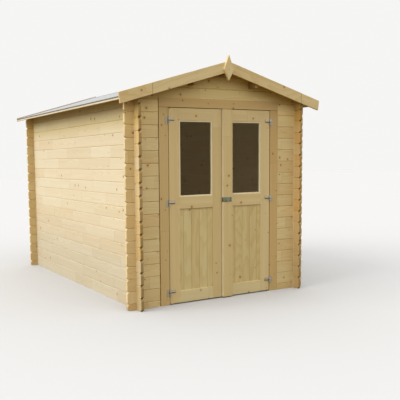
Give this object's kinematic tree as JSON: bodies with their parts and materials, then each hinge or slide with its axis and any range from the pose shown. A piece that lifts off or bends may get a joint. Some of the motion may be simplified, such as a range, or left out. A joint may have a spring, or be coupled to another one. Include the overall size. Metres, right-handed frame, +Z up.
{
  "type": "wooden garden shed",
  "caption": "Small garden shed of interlocking logs with a low felted gable roof, barge boards, and half-glazed double doors that open outwards.",
  "frame": {"origin": "on the ground under the middle of the building", "axes": "+Z up, +Y from the doors to the back, +X to the right seen from the doors"},
  "size_m": [2.254, 3.098, 2.2926],
  "materials": {
    "logs": "bare planed pine logs with knots",
    "base_logs": "bare pine, darker from damp",
    "roof_timber": "bare sawn pine",
    "trim": "bare planed pine",
    "door_timber": "bare planed pine",
    "felt": "grey mineral roofing felt",
    "glass": "clear window glass",
    "zinc": "zinc-plated steel"
  },
  "bodies": {
    "shed": {"front_base": "base_logs", "back_base": "base_logs", "left_wall": "logs", "right_wall": "logs", "front_wall_left": "logs", "front_wall_right": "logs", "front_gable": "logs", "back_wall": "logs", "back_gable": "logs", "ridge_purlin": "roof_timber", "side_purlins": "roof_timber", "roof_boards_left": "roof_timber", "roof_boards_right": "roof_timber", "eave_strip_left": "trim", "eave_strip_right": "trim", "felt_left": "felt", "felt_right": "felt", "ridge_felt": "felt", "front_barge_left": "trim", "front_barge_right": "trim", "back_barge_left": "trim", "back_barge_right": "trim", "front_finial": "trim", "door_post_left": "door_timber", "door_post_right": "door_timber", "door_head": "door_timber", "hinge_plates_left": "zinc", "hinge_plates_right": "zinc"},
    "left_door": {"left_door_stiles": "door_timber", "left_door_rails": "door_timber", "left_door_panel": "door_timber", "left_door_glass": "glass", "left_door_beads": "door_timber", "left_door_straps": "zinc"},
    "right_door": {"right_door_stiles": "door_timber", "right_door_rails": "door_timber", "right_door_panel": "door_timber", "right_door_glass": "glass", "right_door_beads": "door_timber", "right_door_straps": "zinc", "right_door_cover": "door_timber", "lock_plate": "zinc"}
  },
  "joints": [
    {"name": "left_door_hinge", "type": "hinge", "parent": "shed", "child": "left_door", "pos_m": [-0.58, -1.428, 0], "axis": [0, 0, -1], "range_deg": [0, 160]},
    {"name": "right_door_hinge", "type": "hinge", "parent": "shed", "child": "right_door", "pos_m": [0.588, -1.428, 0], "axis": [0, 0, 1], "range_deg": [0, 160]}
  ]
}
